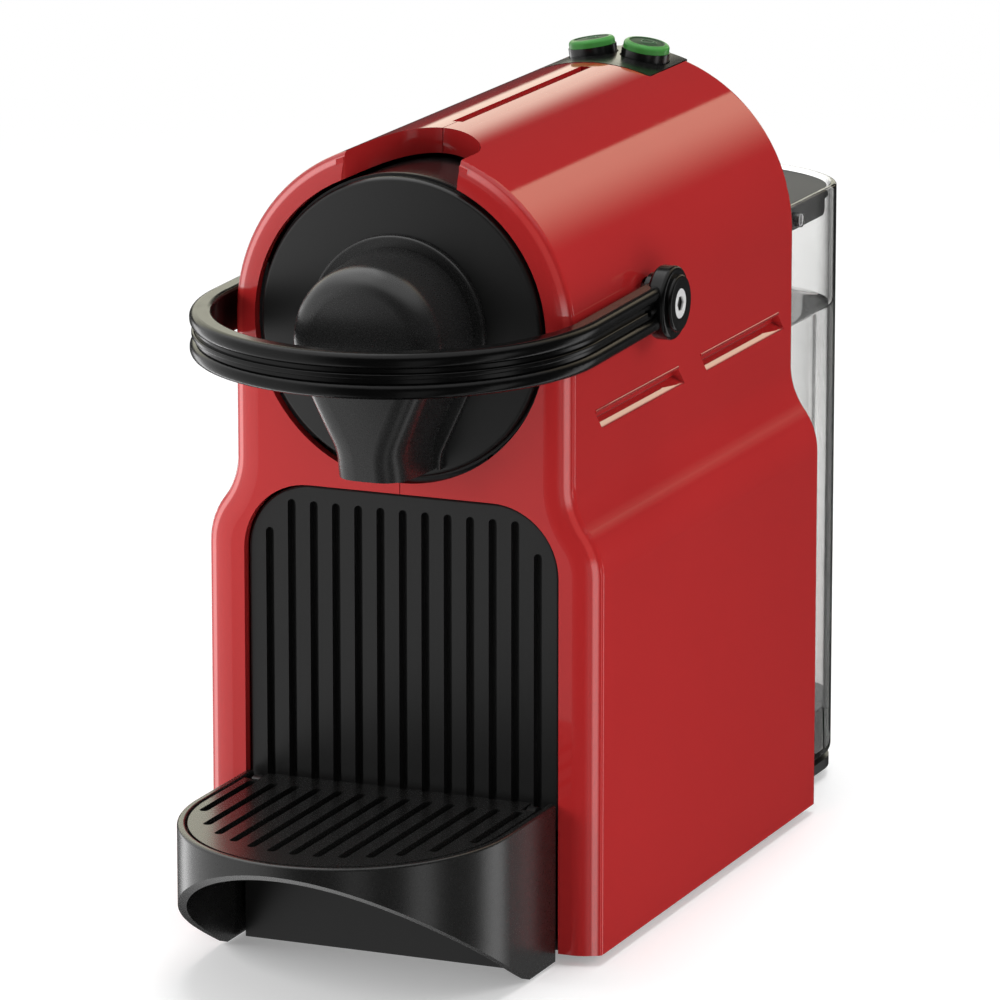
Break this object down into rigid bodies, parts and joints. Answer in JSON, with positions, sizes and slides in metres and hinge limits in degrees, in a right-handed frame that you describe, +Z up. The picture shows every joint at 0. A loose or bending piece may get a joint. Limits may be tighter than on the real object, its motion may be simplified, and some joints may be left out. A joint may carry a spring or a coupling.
{
  "type": "espresso machine",
  "caption": "Compact capsule espresso machine: slim red body with a round head, black loop lever, domed spout, ribbed drawer front, fold-up cup tray and clear water tank behind.",
  "frame": {"origin": "on the table, under the centre of the machine's box", "axes": "+Z up, front with the spout and cup tray towards -Y, +X to the right seen from the front"},
  "size_m": [0.12, 0.32, 0.2287],
  "materials": {
    "red_shell": "glossy moulded red",
    "black_satin": "satin moulded black",
    "black_gloss": "semi-gloss moulded black",
    "green_cap": "translucent green",
    "clear_tank": "clear moulded",
    "lid_grey": "satin dark grey",
    "rubber": "matt",
    "steel": "brushed",
    "screw_chrome": "bright",
    "heater_aluminium": "cast",
    "bush_brass": "machined",
    "pump_coil": "painted",
    "board_green": "circuit board",
    "frame_grey": "moulded grey"
  },
  "bodies": {
    "housing": {"left_shell": "red_shell", "right_shell": "red_shell", "base_plate": "black_satin", "rear_panel": "black_satin", "foot_pads": "rubber", "base_screws": "steel", "cord_gland": "rubber", "front_disc": "black_satin", "outlet_head": "black_satin", "brew_frame": "frame_grey", "extraction_plate": "steel", "button_panel": "black_gloss", "button_board": "board_green", "pump": "pump_coil", "pump_mounts": "rubber", "thermoblock": "heater_aluminium", "delivery_tube": "steel", "flow_meter": "frame_grey", "water_tubes": "rubber", "control_board": "board_green", "tank_inlet": "frame_grey", "inlet_seal": "rubber", "shaft_bushes": "bush_brass"},
    "lever": {"lever_loop": "black_satin", "lever_caps": "black_gloss", "lever_screws": "screw_chrome", "crank_shafts": "steel"},
    "brew_piston": {"capsule_cage": "frame_grey", "slot_shield": "black_satin", "piercing_needles": "steel"},
    "espresso_button": {"espresso_button_body": "black_gloss", "espresso_button_cap": "green_cap"},
    "lungo_button": {"lungo_button_body": "black_gloss", "lungo_button_cap": "green_cap"},
    "drawer": {"grille_panel": "black_satin", "capsule_bin": "black_satin", "drip_tray": "black_satin"},
    "cup_tray": {"cup_tray": "black_satin", "tray_hinge_pins": "steel", "drip_grid": "black_satin"},
    "water_tank": {"water_tank": "clear_tank", "tank_valve": "frame_grey"},
    "tank_lid": {"tank_lid": "lid_grey", "lid_hinge_pins": "steel"}
  },
  "joints": [
    {"name": "lever_swing", "type": "hinge", "parent": "housing", "child": "lever", "pos_m": [0, -0.0204, 0.175], "axis": [-1, 0, 0], "range_deg": [0, 96]},
    {"name": "piston_slide", "type": "slide", "parent": "housing", "child": "brew_piston", "axis": [0, 1, 0], "range_m": [0, 0.0268]},
    {"name": "espresso_press", "type": "slide", "parent": "housing", "child": "espresso_button", "axis": [0.1599, 0, -0.9871], "range_m": [0, 0.0015], "stiffness_N_per_m": 500, "springref_m": -0.0004},
    {"name": "lungo_press", "type": "slide", "parent": "housing", "child": "lungo_button", "axis": [-0.1599, 0, -0.9871], "range_m": [0, 0.0015], "stiffness_N_per_m": 500, "springref_m": -0.0004},
    {"name": "drawer_slide", "type": "slide", "parent": "housing", "child": "drawer", "axis": [0, -1, 0], "range_m": [0, 0.1]},
    {"name": "cup_tray_fold", "type": "hinge", "parent": "drawer", "child": "cup_tray", "pos_m": [0, -0.08, 0.042], "axis": [-1, 0, 0], "range_deg": [0, 90]},
    {"name": "tank_lift", "type": "slide", "parent": "housing", "child": "water_tank", "axis": [0, 0, 1], "range_m": [0, 0.12]},
    {"name": "tank_lid_hinge", "type": "hinge", "parent": "water_tank", "child": "tank_lid", "pos_m": [0, 0.104, 0.1745], "axis": [1, 0, 0], "range_deg": [0, 85]}
  ],
  "couplings": [
    {"joint": "piston_slide", "follows": "lever_swing", "m_per_rad": 0.01597}
  ]
}
